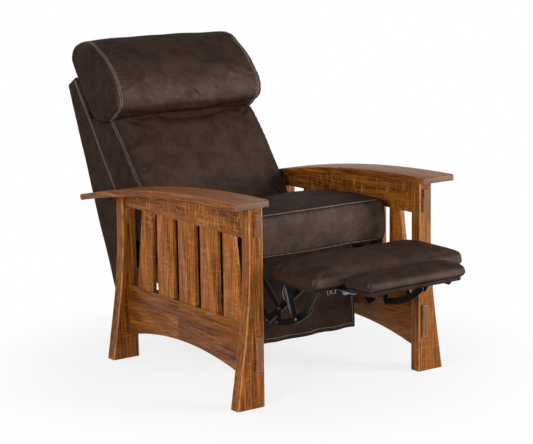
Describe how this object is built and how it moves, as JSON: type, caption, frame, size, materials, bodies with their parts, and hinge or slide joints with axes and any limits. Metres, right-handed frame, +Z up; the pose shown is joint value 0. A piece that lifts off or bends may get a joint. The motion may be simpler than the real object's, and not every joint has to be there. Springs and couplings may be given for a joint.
{
  "type": "recliner",
  "caption": "Mission style recliner with oak side frames, curved arms, slatted sides, a padded leather seat and back, and a fold-out footrest with a second flap.",
  "frame": {"origin": "on the floor, midway between the sides and between the footrest's front and the back's rear", "axes": "+X towards the sitter's left, +Y towards the rear of the chair, +Z up; the footrest is out and the back upright"},
  "size_m": [0.856, 1.5644, 1.0489],
  "materials": {
    "oak": "satin stained oak with ray flecks",
    "frame_board": "plain inner board",
    "leather": "dark brown, semi-gloss, creased",
    "webbing": "woven strap",
    "black_steel": "black, satin",
    "zinc_steel": "zinc plated"
  },
  "bodies": {
    "frame": {"front_leg_left": "oak", "front_leg_right": "oak", "rear_leg_left": "oak", "rear_leg_right": "oak", "arm_left": "oak", "arm_right": "oak", "top_rail_left": "oak", "top_rail_right": "oak", "bottom_rail_left": "oak", "bottom_rail_right": "oak", "slats_left": "oak", "slats_right": "oak", "front_stretcher": "oak", "rear_stretcher": "oak", "glide_rails": "zinc_steel"},
    "seat": {"seat_side_board_left": "frame_board", "seat_side_board_right": "frame_board", "seat_front_rail": "frame_board", "seat_rear_rail": "frame_board", "seat_webbing": "webbing", "seat_runners": "zinc_steel", "seat_cushion": "leather", "valance": "leather", "seat_hinge_plates": "black_steel", "mechanism_plates": "black_steel"},
    "back": {"back_wing_left": "leather", "back_wing_right": "leather", "back_stile_left": "frame_board", "back_stile_right": "frame_board", "outer_back_cover": "leather", "back_bottom_rail": "frame_board", "back_top_rail": "frame_board", "back_lumbar_rail": "frame_board", "back_webbing": "webbing", "back_cushion": "leather", "headrest_pillow": "leather", "headrest_board": "frame_board", "back_hinge_plates": "black_steel"},
    "rear_links": {"rear_links": "black_steel"},
    "lift_links": {"lift_links": "black_steel"},
    "front_links": {"front_links": "black_steel"},
    "toggle_links": {"toggle_links": "black_steel"},
    "stay_links": {"stay_links": "black_steel"},
    "ottoman": {"ottoman_board": "frame_board", "ottoman_pad": "leather", "ottoman_brackets": "black_steel", "ottoman_cross_tube": "black_steel", "ottoman_hinge_leaves": "zinc_steel"},
    "flipper": {"flipper_board": "frame_board", "flipper_pad": "leather", "flipper_hinge_leaves": "zinc_steel", "flipper_brackets": "black_steel"}
  },
  "joints": [
    {"name": "seat_glide", "type": "slide", "parent": "frame", "child": "seat", "axis": [0, -1, 0], "range_m": [0, 0.0451]},
    {"name": "back_recline", "type": "hinge", "parent": "seat", "child": "back", "pos_m": [0, 0.2508, 0.4], "axis": [-1, 0, 0], "range_deg": [0, 22]},
    {"name": "footrest_fold", "type": "hinge", "parent": "seat", "child": "rear_links", "pos_m": [0, -0.19218, 0.31629], "axis": [1, 0, 0], "range_deg": [0, 68.36]},
    {"name": "lift_link_fold", "type": "hinge", "parent": "rear_links", "child": "lift_links", "pos_m": [0, -0.30828, 0.2338], "axis": [1, 0, 0], "range_deg": [-77.93, 0]},
    {"name": "ottoman_tilt", "type": "hinge", "parent": "lift_links", "child": "ottoman", "pos_m": [0, -0.48558, 0.3687], "axis": [1, 0, 0], "range_deg": [0, 99.57]},
    {"name": "front_link_fold", "type": "hinge", "parent": "seat", "child": "front_links", "pos_m": [0, -0.2604, 0.3915], "axis": [1, 0, 0], "range_deg": [0, 63.43]},
    {"name": "toggle_fold", "type": "hinge", "parent": "front_links", "child": "toggle_links", "pos_m": [0, -0.37791, 0.2431], "axis": [1, 0, 0], "range_deg": [-90.59, 0]},
    {"name": "stay_fold", "type": "hinge", "parent": "ottoman", "child": "stay_links", "pos_m": [0, -0.4372, 0.37959], "axis": [1, 0, 0], "range_deg": [-34.35, 0]},
    {"name": "flipper_fold", "type": "hinge", "parent": "ottoman", "child": "flipper", "pos_m": [0, -0.6612, 0.382], "axis": [1, 0, 0], "range_deg": [0, 178.02]}
  ],
  "couplings": [
    {"joint": "seat_glide", "follows": "back_recline", "m_per_rad": 0.1172},
    {"joint": "lift_link_fold", "follows": "footrest_fold", "ratio": -1.1399},
    {"joint": "ottoman_tilt", "follows": "footrest_fold", "ratio": 1.4564},
    {"joint": "front_link_fold", "follows": "footrest_fold", "ratio": 0.92774},
    {"joint": "toggle_fold", "follows": "footrest_fold", "ratio": -1.325},
    {"joint": "stay_fold", "follows": "footrest_fold", "ratio": -0.50234},
    {"joint": "flipper_fold", "follows": "footrest_fold", "ratio": 2.604}
  ]
}
